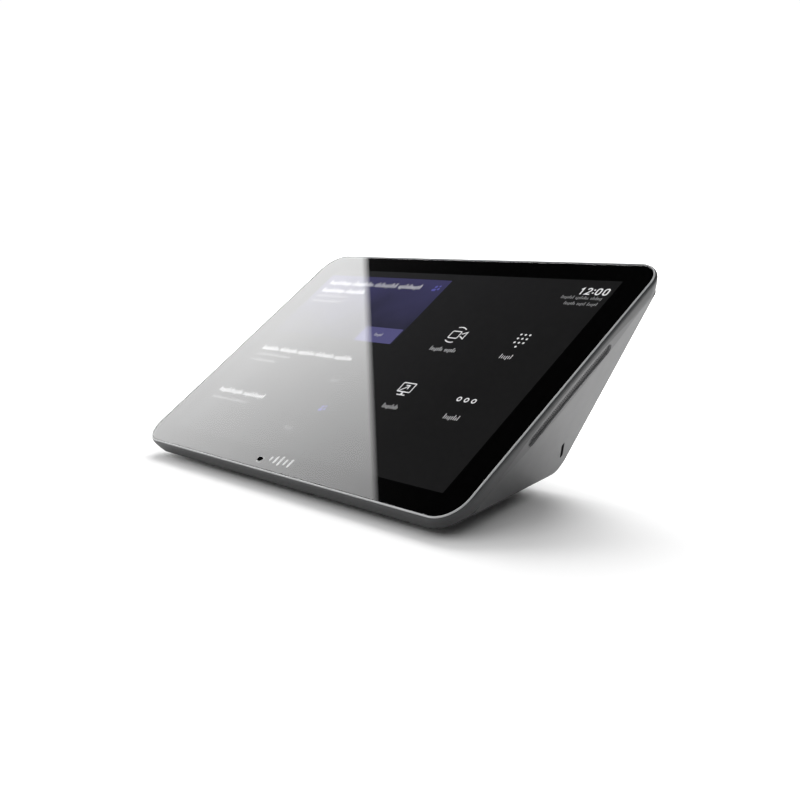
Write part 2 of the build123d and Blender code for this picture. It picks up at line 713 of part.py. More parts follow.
def nodes():
    parts = {
        "housing": housing(), "trim_ring": trim_ring(), "cover_glass": cover_glass(),
        "glass_adhesive": glass_adhesive(), "touch_sensor": touch_sensor(), "display_cell": display_cell(),
        "backlight_unit": backlight_unit(), "display_carrier": display_carrier(),
        "display_bracket": display_bracket(), "bracket_screws": bracket_screws(),
        "sensor_lens": sensor_lens(), "sensor_board": sensor_board(),
        "display_flex": flex("display"), "touch_flex": flex("touch"), "flex_connectors": flex_connectors(),
        "lock_bracket": lock_bracket(), "lock_bracket_screws": lock_bracket_screws(),
        "base_plate": base_plate(), "rubber_feet": rubber_feet(), "base_screws": base_screws(),
        "rating_label": rating_label(), "main_board": main_board(), "board_screws": board_screws(),
        "soc_package": soc_package(), "thermal_pad": thermal_pad(), "heat_spreader": heat_spreader(),
        "memory_chips": memory_chips(), "shield_can": shield_can(), "wifi_module": wifi_module(),
        "wifi_antenna": wifi_antenna(), "poe_transformer": poe_transformer(),
        "board_capacitors": board_capacitors(), "ethernet_jack": ethernet_jack(),
        "ethernet_contacts": ethernet_contacts(), "usb_c_jack": usb_c_jack(), "usb_c_tongue": usb_c_tongue(),
        "io_recess": io_recess(), "reset_switch": reset_switch(), "reset_button": reset_button(),
    }
    for name, side in SIDES.items():
        parts["slot_mesh_" + name] = slot_mesh(side)
        parts["speaker_" + name] = speaker(side)
        parts["speaker_gasket_" + name] = speaker_gasket(side)
        parts["microphone_" + name] = microphone(side)
    return parts


def main():
    os.makedirs("parts", exist_ok=True)
    parts = nodes()
    front = parts["trim_ring"].bounding_box().min.Y
    back = parts["housing"].bounding_box().max.Y
    centre = Pos(0, -(front + back) / 2, 0)
    for name, shape in parts.items():
        export_step(centre * shape, "parts/" + name + ".step")


main()
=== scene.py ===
"""Looks, light and camera for a touch-screen desk phone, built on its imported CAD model.

Lengths are millimetres, turned into metres when a mesh is made, except where a comment says metres.
The panel frame lies on the glass: x to the user's right, y up the slope, z out of the glass,
with its origin at the centre of the screen on the glass face.
"""

import json
import math

import bmesh
import bpy
from mathutils import Matrix, Vector

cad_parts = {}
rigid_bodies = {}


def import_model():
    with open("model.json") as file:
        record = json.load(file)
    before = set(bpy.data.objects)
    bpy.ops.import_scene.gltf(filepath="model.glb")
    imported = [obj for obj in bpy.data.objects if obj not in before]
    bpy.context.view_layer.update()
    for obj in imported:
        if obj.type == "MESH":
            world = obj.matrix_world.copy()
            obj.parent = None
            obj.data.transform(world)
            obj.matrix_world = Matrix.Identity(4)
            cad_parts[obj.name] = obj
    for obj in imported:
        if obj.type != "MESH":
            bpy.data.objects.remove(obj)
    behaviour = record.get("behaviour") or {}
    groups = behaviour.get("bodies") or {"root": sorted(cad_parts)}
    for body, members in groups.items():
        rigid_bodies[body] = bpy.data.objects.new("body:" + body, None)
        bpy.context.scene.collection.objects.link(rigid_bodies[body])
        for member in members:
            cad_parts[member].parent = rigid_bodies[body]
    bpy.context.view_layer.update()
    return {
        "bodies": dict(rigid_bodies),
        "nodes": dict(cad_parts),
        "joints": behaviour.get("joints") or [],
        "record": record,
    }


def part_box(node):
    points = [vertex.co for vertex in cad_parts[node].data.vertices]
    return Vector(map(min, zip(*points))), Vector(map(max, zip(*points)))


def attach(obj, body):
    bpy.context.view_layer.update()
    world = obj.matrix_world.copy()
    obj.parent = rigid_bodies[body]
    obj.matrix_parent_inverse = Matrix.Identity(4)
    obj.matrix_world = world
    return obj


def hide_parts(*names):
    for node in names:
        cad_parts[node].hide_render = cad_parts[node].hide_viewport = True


MM = 0.001

# ---- the glass and what is printed on its back ----
TILT = 36.4
GLASS_T = 1.1
GLASS_W = 195.0
GLASS_H = 127.2
GLASS_R = 10.0
INK_DEPTH = -1.02
PICTURE_DEPTH = -1.04
SYMBOL_DEPTH = -1.0
LAYER_T = 0.012
SCREEN_LEFT = -84.9
SCREEN_RIGHT = 85.3
SCREEN_LOW = -53.9
SCREEN_HIGH = 54.2
SENSOR_X = -12.5
SENSOR_Y = -59.6
SENSOR_W = 2.9
SENSOR_H = 2.2
SENSOR_R = 0.8

# ---- the generic mark: upright bars, placed by their middles ----
MARK_HEIGHTS = (2.2, 3.7, 4.8, 3.0, 4.2)
MARK_LEFT = -7.2
MARK_Y = -57.9
MARK_PITCH = 3.1
MARK_BAR_W = 1.35
MARK_BAR_R = 0.6

# ---- what the screen shows ----
TEXT_LEFT = -81.2
TILE_RIGHT = -2.0
TILE_LOW = 9.2
TILE_HIGH = 50.1
BUTTON_LEFT = -26.8
BUTTON_HIGH = 18.2
STROKE = 0.5
# Strokes that stand for writing: how far each reaches below and above the line, as shares of its height.
WORD_STROKES = [(-0.4, 0.6), (-0.4, 0.25), (-0.4, 0.2), (-0.65, 0.25), (-0.4, 0.3), (-0.4, 0.6), (-0.4, 0.2)]
WORD_PITCH = 0.42        # from stroke to stroke, as a share of the writing's height
RING_R = 1.15
DIGIT_W = 2.5
DIGIT_H = 3.9
DIGIT_STROKE = 0.62

# ---- trim round the glass, as distance beyond the glass edge and height over the glass ----
TRIM_PROFILE = [
    (0.12, -0.39), (0.12, 0.03), (0.17, 0.1), (0.25, 0.15), (0.35, 0.165), (0.45, 0.13), (0.53, 0.05),
    (0.58, -0.08), (0.62, -0.2), (0.62, -0.39),
]
BEAD_CORNER_STEPS = 32

# ---- side grooves ----
CREASE_X = 97.15
CREASE_DEPTH = -5.6
GROOVE_Y = 0.6
GROOVE_TURN = 27.0
GROOVE_FLOOR = -1.25
GRILLE_LENGTH = 49.8
GRILLE_W = 4.0
GRILLE_T = 0.3
HOLE_R = 0.24
HOLE_PITCH = 0.85
HOLE_COUNT = 54
# The groove's lining, as distance beyond the grille's edge and height over the crease.
LINING_PROFILE = [
    (0.08, GROOVE_FLOOR + 0.01), (-0.16, GROOVE_FLOOR + 0.01), (-0.16, -0.62), (-0.12, -0.53), (-0.04, -0.49),
    (0.04, -0.50), (0.08, -0.56),
]

# ---- feet and label ----
FOOT_R = 6.5
REAR_FOOT_X = 45.0
LABEL_RAISE = 0.02
LABEL_TEXT_LEFT = -17.0
LABEL_TEXT_TOP = 8.0
LABEL_LINE = 3.9
LABEL_BAR_H = 1.1

# ---- camera, floor and studio ----
CAMERA_PLACE = (346.3, -278.8, 94.1)
CAMERA_TURN = 48.3
CAMERA_PITCH = -7.24
CAMERA_LENS = 51.04
CAMERA_SHIFT = (-0.0492, -0.0292)
DOME_R = 10.0            # metres
FLOOR_SIZE = 40.0        # metres
KEY_TURN = 133.0
KEY_HIGH = 34.0
KEY_WIDTH = 40.0
KEY_STRENGTH = 2.8
FILL_TURN = 190.0
FILL_HIGH = 68.0
FILL_WIDTH = 150.0
FILL_STRENGTH = 2.4
SKY_LOW = 0.2
SKY_OVERHEAD = 0.01
SKY_FADE_START = 0.1     # the upward part of a direction, from 0 at the horizon to 1 overhead
SKY_FADE_END = 0.68
# painted light: the floor glows behind the object, a painted pool of light there
GLOW_BEHIND = 0.8        # the floor's own light behind the object
GLOW_START = 0.02        # metres along Y
GLOW_END = 0.08
CARD_X = -500.0
CARD_NEAR = -700.0
CARD_FAR = 900.0
CARD_EDGE_Z = 457.7
CARD_EDGE_SLOPE = -0.357
CARD_EDGE_SOFT = 10.0
CARD_TURN = 0.35         # how much the card's fade leans, as height over depth
CARD_DIM = 3.0
CARD_DIM_AT = -265.0
CARD_BRIGHT = 5.0
CARD_BRIGHT_AT = -65.0


# ---------------------------------------------------------------- materials

class Shader:
    """A Principled material with the few node patterns the pieces share."""

    def __init__(self, name, colour, roughness, metallic=0.0):
        self.material = bpy.data.materials.new(name)
        self.material.use_nodes = True
        self.tree = self.material.node_tree
        self.shader = self.tree.nodes["Principled BSDF"]
        self.colour = (*colour, 1.0)
        self.set("Base Color", self.colour)
        self.set("Roughness", roughness)
        self.set("Metallic", metallic)
        self.roughness = roughness
        self.coordinates = self.node("ShaderNodeTexCoord").outputs["Object"]

    def node(self, kind, **values):
        made = self.tree.nodes.new(kind)
        for key, value in values.items():
            setattr(made, key, value)
        return made

    def link(self, source, target):
        self.tree.links.new(source, target)

    def set(self, socket, value):
        self.shader.inputs[socket].default_value = value

    def stretched(self, scale):
        """Object coordinates, stretched by a factor along each axis."""
        mapping = self.node("ShaderNodeMapping")
        mapping.inputs["Scale"].default_value = scale
        self.link(self.coordinates, mapping.inputs["Vector"])
        return mapping.outputs["Vector"]

    def noise(self, size, detail=3.0, stretch=None):
        """Noise whose features are about that many millimetres across."""
        made = self.node("ShaderNodeTexNoise")
        made.inputs["Scale"].default_value = 1.0 / (size * MM)
        made.inputs["Detail"].default_value = detail
        self.link(self.stretched(stretch) if stretch else self.coordinates, made.inputs["Vector"])
        return made.outputs["Fac"]

    def along(self, direction):
        """How far a point lies along a direction."""
        made = self.node("ShaderNodeVectorMath", operation="DOT_PRODUCT")
        made.inputs[1].default_value = direction
        self.link(self.coordinates, made.inputs[0])
        return made.outputs["Value"]

    def ramp(self, value, low, high, start=0.3, end=0.7):
        """Maps a value onto a range of numbers."""
        made = self.node("ShaderNodeMapRange")
        made.inputs["From Min"].default_value = start
        made.inputs["From Max"].default_value = end
        made.inputs["To Min"].default_value = low
        made.inputs["To Max"].default_value = high
        self.link(value, made.inputs["Value"])
        return made.outputs["Result"]

    def blend(self, factor, first, second):
        made = self.node("ShaderNodeMix", data_type="RGBA")
        self.link(factor, made.inputs["Factor"])
        for socket, colour in ((made.inputs[6], first), (made.inputs[7], second)):
            if hasattr(colour, "links"):
                self.link(colour, socket)
            else:
                socket.default_value = colour
        return made.outputs[2]

    def shade(self, amount):
        """The base colour, lighter or darker by a share."""
        return tuple(min(1.0, part * amount) for part in self.colour[:3]) + (1.0,)

    def mottle(self, size, amount):
        """Slow drift of the colour, as moulded or painted surfaces have."""
        factor = self.ramp(self.noise(size, 4.0), 0.0, 1.0)
        self.link(self.blend(factor, self.shade(1 - amount), self.shade(1 + amount)),
                  self.shader.inputs["Base Color"])
        return self

    def uneven_gloss(self, size, amount):
        spread = self.ramp(self.noise(size, 5.0), self.roughness - amount, self.roughness + amount)
        self.link(spread, self.shader.inputs["Roughness"])
        return self

    def bump(self, height, strength, distance):
        made = self.node("ShaderNodeBump")
        made.inputs["Strength"].default_value = strength
        made.inputs["Distance"].default_value = distance * MM
        self.link(height, made.inputs["Height"])
        self.link(made.outputs["Normal"], self.shader.inputs["Normal"])
        return self

    def grain(self, size, strength, distance=0.05, stretch=None):
        return self.bump(self.noise(size, 2.0, stretch), strength, distance)


def moulded(name, colour, roughness, grain=0.35, strength=0.12, mottle=0.05):
    """Moulded or painted plastic: fine texture, slow colour drift, uneven gloss."""
    shader = Shader(name, colour, roughness)
    shader.mottle(14.0, mottle).uneven_gloss(5.0, 0.04).grain(grain, strength)
    return shader.material


def metal(name, colour, roughness, stretch=(1.0, 12.0, 12.0), strength=0.15):
    """Plain metal with rolling or brushing lines along X."""
    shader = Shader(name, colour, roughness, metallic=1.0)
    shader.mottle(6.0, 0.06).uneven_gloss(2.0, 0.06).grain(1.4, strength, 0.03, stretch)
    return shader.material


def rubber(name, colour):
    shader = Shader(name, colour, 0.78)
    shader.set("Specular IOR Level", 0.35)
    shader.mottle(3.0, 0.12).uneven_gloss(1.2, 0.08).grain(0.22, 0.35)
    return shader.material


def housing_paint():
    """Dark grey satin coat with a very fine texture."""
    shader = Shader("housing_satin", (0.034, 0.0345, 0.036), 0.42)
    shader.set("Specular IOR Level", 0.5)
    shader.mottle(22.0, 0.02).uneven_gloss(7.0, 0.012)
    fine = shader.noise(0.16, 2.0)
    coarse = shader.ramp(shader.noise(0.5, 2.0), 0.0, 0.5)
    total = shader.node("ShaderNodeMath", operation="ADD")
    shader.link(fine, total.inputs[0])
    shader.link(coarse, total.inputs[1])
    return shader.bump(total.outputs[0], 0.1, 0.03).material


def clear_glass():
    """Clear cover glass with faint smears in its gloss."""
    shader = Shader("cover_glass_clear", (1.0, 1.0, 1.0), 0.0)
    shader.set("Transmission Weight", 1.0)
    shader.set("IOR", 1.5)
    smear = shader.ramp(shader.noise(30.0, 5.0, (1.0, 2.4, 1.6)), 0.0, 1.0)
    shader.link(shader.blend(smear, (1.0, 1.0, 1.0, 1.0), (0.95, 0.955, 0.96, 1.0)),
                shader.shader.inputs["Specular Tint"])
    return shader.material


def glow(name, colour, strength=1.0):
    """A lit part of the screen: black when the screen is off."""
    shader = Shader(name, (0.004, 0.004, 0.004), 0.5)
    shader.set("Specular IOR Level", 0.0)
    shader.set("Emission Color", (*colour, 1.0))
    shader.set("Emission Strength", strength)
    return shader.mottle(3.0, 0.15).uneven_gloss(5.0, 0.05)


def screen_ground():
    """The screen's dark backdrop, a little lighter towards its upper left."""
    shader = glow("screen_ground", (0.011, 0.011, 0.0115))
    light = shader.ramp(shader.along((-1.0, 0.0, 1.0)), 0.0, 1.0, -0.02, 0.17)
    shader.link(shader.blend(light, (0.0095, 0.0095, 0.0098, 1.0), (0.021, 0.021, 0.0225, 1.0)),
                shader.shader.inputs["Emission Color"])
    return shader.material


def tile_glow():
    """The highlighted tile, fading from violet at its upper right to dark below."""
    shader = glow("screen_tile_violet", (0.045, 0.042, 0.12))
    fade = shader.ramp(shader.along((0.0, 0.0, 1.0)), 0.0, 1.0, 0.0505, 0.0745)
    cloud = shader.ramp(shader.noise(26.0, 2.0), -0.15, 0.2)
    total = shader.node("ShaderNodeMath", operation="ADD", use_clamp=True)
    shader.link(fade, total.inputs[0])
    shader.link(cloud, total.inputs[1])
    shader.link(shader.blend(total.outputs[0], (0.021, 0.021, 0.034, 1.0), (0.05, 0.047, 0.12, 1.0)),
                shader.shader.inputs["Emission Color"])
    return shader.material


def sensor_window():
    """Matte black that stays dark where the glass round it mirrors a light."""
    shader = Shader("sensor_lens_black", (0.002, 0.002, 0.002), 0.7)
    shader.set("Specular IOR Level", 0.0)
    return shader.mottle(2.0, 0.2).uneven_gloss(4.0, 0.05).material


def circuit_green():
    """Solder resist with faint copper traces under it."""
    shader = Shader("circuit_board_green", (0.012, 0.085, 0.045), 0.32)
    lines = shader.node("ShaderNodeTexBrick")
    lines.inputs["Scale"].default_value = 190.0
    lines.inputs["Mortar Size"].default_value = 0.03
    lines.inputs["Color1"].default_value = (0.012, 0.085, 0.045, 1.0)
    lines.inputs["Color2"].default_value = (0.010, 0.075, 0.040, 1.0)
    lines.inputs["Mortar"].default_value = (0.035, 0.15, 0.07, 1.0)
    shader.link(shader.coordinates, lines.inputs["Vector"])
    shader.link(lines.outputs["Color"], shader.shader.inputs["Base Color"])
    return shader.uneven_gloss(3.0, 0.05).bump(lines.outputs["Fac"], 0.2, 0.03).material


def make_materials():
    return {
        "housing": housing_paint(),
        "trim": Shader("trim_light_satin", (0.46, 0.462, 0.466), 0.36)
        .mottle(10.0, 0.04).uneven_gloss(4.0, 0.04).grain(0.2, 0.04).material,
        "cover_glass": clear_glass(),
        "touch_film": moulded("touch_film_dark", (0.006, 0.006, 0.007), 0.3, strength=0.02),
        "display": moulded("display_cell_dark", (0.012, 0.012, 0.014), 0.3, strength=0.02),
        "backlight": metal("backlight_tray", (0.62, 0.63, 0.65), 0.4),
        "inner_plastic": moulded("inner_plastic_black", (0.02, 0.02, 0.022), 0.5),
        "sheet_steel": metal("sheet_steel_plated", (0.52, 0.53, 0.55), 0.34),
        "screws": metal("screw_steel", (0.3, 0.3, 0.31), 0.3, (1.0, 1.0, 1.0), 0.08),
        "sensor_lens": sensor_window(),
        "circuit_board": circuit_green(),
        "flex": moulded("flex_amber", (0.32, 0.12, 0.012), 0.3, strength=0.04),
        "ivory_plastic": moulded("connector_ivory", (0.62, 0.57, 0.44), 0.45),
        "base": moulded("base_moulding", (0.03, 0.0305, 0.032), 0.55, 0.3, 0.2),
        "rubber": rubber("foot_rubber", (0.022, 0.022, 0.023)),
        "label": moulded("label_silver_film", (0.5, 0.505, 0.51), 0.38, 0.5, 0.04),
        "chips": moulded("chip_epoxy", (0.014, 0.014, 0.015), 0.42, 0.2, 0.1),
        "thermal_pad": rubber("thermal_pad_blue", (0.14, 0.26, 0.38)),
        "aluminium": metal("aluminium_bare", (0.78, 0.79, 0.8), 0.3),
        "shield": metal("tin_plate", (0.66, 0.66, 0.65), 0.28),
        "connector_black": moulded("connector_black", (0.012, 0.012, 0.013), 0.36, 0.3, 0.06),
        "contacts": metal("contact_gold", (0.86, 0.6, 0.22), 0.22),
        "reset_button": moulded("reset_button_grey", (0.13, 0.132, 0.138), 0.5),
        # The grille's near-black is partly its own dark colour and partly painted shade for the shadowed
        # groove floor.
        "mesh": Shader("grille_dark_and_painted_shade", (0.016, 0.016, 0.017), 0.5)
        .mottle(2.0, 0.08).uneven_gloss(1.0, 0.05).grain(0.1, 0.1).material,
        "foam": rubber("foam_black", (0.012, 0.012, 0.013)),
    }


# ---------------------------------------------------------------- meshes

def panel_frame(frame):
    """The panel frame's matrix, found from where the CAD glass lies."""
    low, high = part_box("cover_glass")
    turn = Matrix.Rotation(math.radians(TILT), 4, "X")
    out = turn.to_3x3() @ Vector((0, 0, 1))
    origin = (low + high) / 2 + out * (GLASS_T / 2 * MM)
    return Matrix.Translation(origin) @ turn


def round_loop(x, y, width, height, radius, steps=8):
    """The outline of a rounded rectangle about a centre."""
    radius = min(radius, width / 2 - 1e-4, height / 2 - 1e-4)
    points = []
    corners = [(1, 1, 0), (-1, 1, 90), (-1, -1, 180), (1, -1, 270)]
    for right, up, start in corners:
        centre_x = x + right * (width / 2 - radius)
        centre_y = y + up * (height / 2 - radius)
        for step in range(steps + 1):
            angle = math.radians(start + 90 * step / steps)
            points.append((centre_x + radius * math.cos(angle), centre_y + radius * math.sin(angle)))
    return points


def circle_loop(x, y, radius, steps=24):
    return [(x + radius * math.cos(math.tau * step / steps), y + radius * math.sin(math.tau * step / steps))
            for step in range(steps)]


def bar_loop(left, y, right, height):
    """A pill-ended bar, which stands for a line of print."""
    return round_loop((left + right) / 2, y, right - left, height, height / 2, 5)


def stroke_loop(points, width):
    """The outline of a line of one width through some points, with square ends."""
    sides = ([], [])
    last = len(points) - 1
    for index, point in enumerate(points):
        here = Vector(point)
        before = (here - Vector(points[max(index - 1, 0)])).normalized()
        after = (Vector(points[min(index + 1, last)]) - here).normalized()
        along = (before + after).normalized()
        normal = Vector((-along.y, along.x))
        straight = after if index == 0 else before
        reach = width / 2 / max(0.35, normal.dot(Vector((-straight.y, straight.x))))
        sides[0].append(tuple(here + normal * reach))
        sides[1].append(tuple(here - normal * reach))
    return sides[0] + sides[1][::-1]


def arc_points(x, y, radius, start, end, steps=10):
    return [(x + radius * math.cos(math.radians(start + (end - start) * step / steps)),
             y + radius * math.sin(math.radians(start + (end - start) * step / steps)))
            for step in range(steps + 1)]


def flat_piece(name, loops, low, high, place, material, body="chassis"):
    """A flat sheet with holes: closed loops filled by turns, given a thickness and put in its place."""
    curve = bpy.data.curves.new(name, "CURVE")
    curve.dimensions = "2D"
    curve.fill_mode = "BOTH"
    curve.extrude = (high - low) / 2
    for loop in loops:
        spline = curve.splines.new("POLY")
        spline.points.add(len(loop) - 1)
        for point, (x, y) in zip(spline.points, loop):
            point.co = (x, y, 0, 1)
        spline.use_cyclic_u = True
    source = bpy.data.objects.new(name + "_outline", curve)
    mesh = bpy.data.meshes.new_from_object(source)
    bpy.data.objects.remove(source)
    bpy.data.curves.remove(curve)
    mesh.transform(place @ Matrix.Scale(MM, 4) @ Matrix.Translation((0, 0, (low + high) / 2)))
    return piece(name, mesh, material, body)


def piece(name, mesh, material, body="chassis"):
    mesh.name = name
    mesh.materials.clear()
    mesh.materials.append(material)
    made = bpy.data.objects.new(name, mesh)
    bpy.context.scene.collection.objects.link(made)
    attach(made, body)
    return made


def lathe(name, places, profile, material, steps=64):
    """Turned pieces about upright axes, all in one mesh. The profile is (radius, height) pairs."""
    vertices = []
    faces = []
    for x, y in places:
        first = len(vertices)
        for radius, height in profile:
            for step in range(steps):
                angle = math.tau * step / steps
                across = (x + radius * math.cos(angle)) * MM
                deep = (y + radius * math.sin(angle)) * MM
                vertices.append((across, deep, height * MM))
        for ring in range(len(profile) - 1):
            for step in range(steps):
                a = first + ring * steps + step
                b = first + ring * steps + (step + 1) % steps
                faces.append((a, b, b + steps, a + steps))
        faces.append(tuple(range(first, first + steps))[::-1])
        end = first + (len(profile) - 1) * steps
        faces.append(tuple(range(end, end + steps)))
    mesh = bpy.data.meshes.new(name)
    mesh.from_pydata(vertices, [], faces)
    mesh.validate()
    made = piece(name, mesh, material)
    smooth(made, 30)
    return made


def smooth(obj, angle):
    obj.data.polygons.foreach_set("use_smooth", [True] * len(obj.data.polygons))
    obj.data.set_sharp_from_angle(angle=math.radians(angle))


# ---------------------------------------------------------------- the object

def dress_nodes(frame, materials):
    """Gives every CAD node the finish of its material slot."""
    for part in frame["record"]["subparts"]:
        node = frame["nodes"][part["node"]]
        node.data.materials.clear()
        node.data.materials.append(materials[part["material_slot"]])


def ink_border(panel):
    """The black print on the back of the glass, with its windows for the screen and the sensor."""
    width = SCREEN_RIGHT - SCREEN_LEFT
    height = SCREEN_HIGH - SCREEN_LOW
    loops = [
        round_loop(0, 0, GLASS_W - 0.4, GLASS_H - 0.4, GLASS_R - 0.2, 16),
        round_loop((SCREEN_LEFT + SCREEN_RIGHT) / 2, (SCREEN_LOW + SCREEN_HIGH) / 2, width, height, 0.4),
        round_loop(SENSOR_X, SENSOR_Y, SENSOR_W + 0.4, SENSOR_H + 0.4, SENSOR_R),
    ]
    ink = Shader("ink_black", (0.0009, 0.0009, 0.001), 0.6)
    ink.set("Specular IOR Level", 0.0)
    ink.mottle(3.0, 0.2).uneven_gloss(4.0, 0.1)
    flat_piece("ink_border", loops, INK_DEPTH - LAYER_T, INK_DEPTH, panel, ink.material)


def maker_mark(panel):
    """A generic mark of five upright bars, in place of any name."""
    loops = []
    for index, height in enumerate(MARK_HEIGHTS):
        loops.append(round_loop(MARK_LEFT + index * MARK_PITCH, MARK_Y, MARK_BAR_W, height, MARK_BAR_R, 4))
    pale = Shader("mark_pale_print", (0.72, 0.72, 0.73), 0.5)
    pale.set("Specular IOR Level", 0.0)
    pale.mottle(3.0, 0.03).uneven_gloss(5.0, 0.05)
    flat_piece("generic_mark", loops, SYMBOL_DEPTH - LAYER_T, SYMBOL_DEPTH, panel, pale.material)


def screen_sheets(panel):
    """The lit backdrop, the highlighted tile and its button."""
    depth = PICTURE_DEPTH
    width = SCREEN_RIGHT - SCREEN_LEFT
    height = SCREEN_HIGH - SCREEN_LOW
    backdrop = [round_loop(0, (SCREEN_LOW + SCREEN_HIGH) / 2, width + 1, height + 1, 0.4)]
    sheet = flat_piece("screen_backdrop", backdrop, depth - LAYER_T, depth, panel, screen_ground())
    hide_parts("touch_sensor")
    tile = [round_loop((SCREEN_LEFT + TILE_RIGHT) / 2, (TILE_LOW + TILE_HIGH) / 2,
                       TILE_RIGHT - SCREEN_LEFT, TILE_HIGH - TILE_LOW, 0.3)]
    flat_piece("screen_tile", tile, depth, depth + LAYER_T, panel, tile_glow())
    button = [round_loop((BUTTON_LEFT + TILE_RIGHT) / 2 - 0.5, (TILE_LOW + BUTTON_HIGH) / 2,
                         TILE_RIGHT - BUTTON_LEFT - 1, BUTTON_HIGH - TILE_LOW, 0.4)]
    violet = glow("screen_button_violet", (0.095, 0.09, 0.22)).material
    flat_piece("screen_button", button, depth + LAYER_T, depth + 2 * LAYER_T, panel, violet)


def words(left, y, right, height, count):
    """A line of writing, stood for by thin upright strokes of uneven height, set out as so many words."""
    slots = max(count, round((right - left) / (height * WORD_PITCH)))
    step = (right - left) / slots
    breaks = {round(slots * (index + 1) / count) for index in range(count - 1)}
    loops = []
    for index in range(slots):
        if index in breaks:
            continue
        low, high = WORD_STROKES[index % len(WORD_STROKES)]
        centre = left + (index + 0.5) * step
        middle = y + (low + high) / 2 * height
        loops.append(round_loop(centre, middle, step * 0.3, (high - low) * height, step * 0.15, 3))
    return loops


def screen_writing(panel):
    """Headings, labels and small print, none of it readable."""
    heading = words(TEXT_LEFT, 44.7, -16.8, 3.2, 4) + words(TEXT_LEFT, 39.3, -49.8, 3.2, 2)
    heading += words(TEXT_LEFT, -1.7, -16.3, 3.0, 5) + words(TEXT_LEFT, -29.5, -46.6, 3.0, 2)
    label = words(20.9, 9.6, 35.5, 2.4, 2) + words(58.8, 9.5, 65.1, 2.4, 1)
    label += words(24.0, -22.7, 32.8, 2.4, 1) + words(57.6, -22.7, 65.5, 2.4, 1)
    label += words(-17.4, 13.8, -12.4, 1.9, 1)
    small = words(63.0, 43.9, 82.7, 1.9, 3) + words(66.7, 40.6, 82.6, 1.9, 3)
    small += words(TEXT_LEFT, 35.5, -58.8, 1.8, 3) + words(TEXT_LEFT, 31.9, -59.8, 1.8, 2)
    small += words(TEXT_LEFT, -5.7, -55.8, 1.8, 3) + words(TEXT_LEFT, -9.4, -62.3, 1.8, 2)
    small += words(TEXT_LEFT, -34.1, -54.0, 1.8, 2)
    small += words(-17.0, -14.4, -12.0, 1.9, 1) + words(-17.0, -42.1, -12.0, 1.9, 1)
    low = PICTURE_DEPTH + LAYER_T
    for name, loops, level in (("heading", heading, 1.1), ("label", label, 0.7), ("small", small, 0.4)):
        lit = glow("screen_" + name + "_white", (level, level, level * 1.01)).material
        flat_piece("screen_" + name + "_strokes", loops, low + LAYER_T, low + 2 * LAYER_T, panel, lit)


def camera_symbol(x, y):
    """A camera body and lens hood between two arcs."""
    body = [round_loop(x - 1.1, y, 5.4, 4.4, 0.8),
            round_loop(x - 1.1, y, 5.4 - 2 * STROKE, 4.4 - 2 * STROKE, 0.4)]
    hood_line = [(x + 2.2, y + 0.6), (x + 4.6, y + 1.9), (x + 4.6, y - 1.9), (x + 2.2, y - 0.6)]
    hood = [stroke_loop(hood_line, STROKE)]
    arcs = [stroke_loop(arc_points(x - 0.6, y - 0.4, 4.8, 50, 112), STROKE),
            stroke_loop(arc_points(x - 0.6, y + 0.4, 4.8, 230, 292), STROKE)]
    return body + hood + arcs


def share_symbol(x, y):
    """A monitor on a stand with an arrow on it."""
    frame = [round_loop(x, y + 0.9, 7.4, 5.2, 0.5),
             round_loop(x, y + 0.9, 7.4 - 2 * STROKE, 5.2 - 2 * STROKE, 0.2)]
    stand = [round_loop(x, y - 3.1, 4.6, STROKE, 0.2), round_loop(x, y - 2.3, STROKE * 2, 1.0, 0.1)]
    arrow = [stroke_loop([(x - 2.7, y - 1.2), (x + 0.3, y + 1.5)], STROKE),
             stroke_loop([(x - 1.2, y + 2.0), (x + 0.8, y + 2.0), (x + 0.8, y + 0.1)], STROKE)]
    return frame + stand + arrow


def ring_symbols(x, y):
    loops = []
    for step in (-1, 0, 1):
        loops.append(circle_loop(x + step * 3.7, y, RING_R))
        loops.append(circle_loop(x + step * 3.7, y, RING_R - STROKE))
    return loops


def keypad_symbol(x, y):
    """Ten dots laid out as a dialling pad."""
    places = [(column, row) for row in (1.5, 0.5, -0.5) for column in (-1, 0, 1)] + [(0, -1.5)]
    return [circle_loop(x + column * 2.2, y + row * 2.2, 0.5, 16) for column, row in places]


def people_symbol(x, y, size):
    """Two round heads over shoulders, small."""
    return [circle_loop(x - 0.5 * size, y + 0.5 * size, 0.42 * size, 16),
            circle_loop(x + 0.6 * size, y + 0.75 * size, 0.3 * size, 16),
            round_loop(x - 0.5 * size, y - 0.55 * size, 1.3 * size, 0.8 * size, 0.35 * size),
            round_loop(x + 0.75 * size, y - 0.2 * size, 0.7 * size, 0.7 * size, 0.25 * size)]


def clock_digits(right, y):
    """A plain clock reading, twelve o'clock, in simple strokes."""
    half = DIGIT_H / 2
    mid = DIGIT_W / 2
    inset = DIGIT_STROKE / 2
    step = DIGIT_W + 1.0
    loops = []
    for index in (0, 1):
        x = right - mid - index * step
        loops.append(round_loop(x, y, DIGIT_W, DIGIT_H, 1.1))
        loops.append(round_loop(x, y, DIGIT_W - 2 * DIGIT_STROKE, DIGIT_H - 2 * DIGIT_STROKE, 0.6))
    colon_x = right - 2 * step - 0.1
    loops.append(circle_loop(colon_x, y + 0.85, 0.4, 16))
    loops.append(circle_loop(colon_x, y - 0.85, 0.4, 16))
    x = colon_x - 1.1 - mid
    two = arc_points(x, y + half - mid + 0.05, mid - inset, 170, -40, 8)
    two += [(x - mid + inset, y - half + inset), (x + mid, y - half + inset)]
    loops.append(stroke_loop(two, DIGIT_STROKE))
    x -= step - 0.2
    one = [(x - 0.75, y + half - 1.0), (x + 0.2, y + half - 0.3), (x + 0.2, y - half)]
    loops.append(stroke_loop(one, DIGIT_STROKE))
    return loops


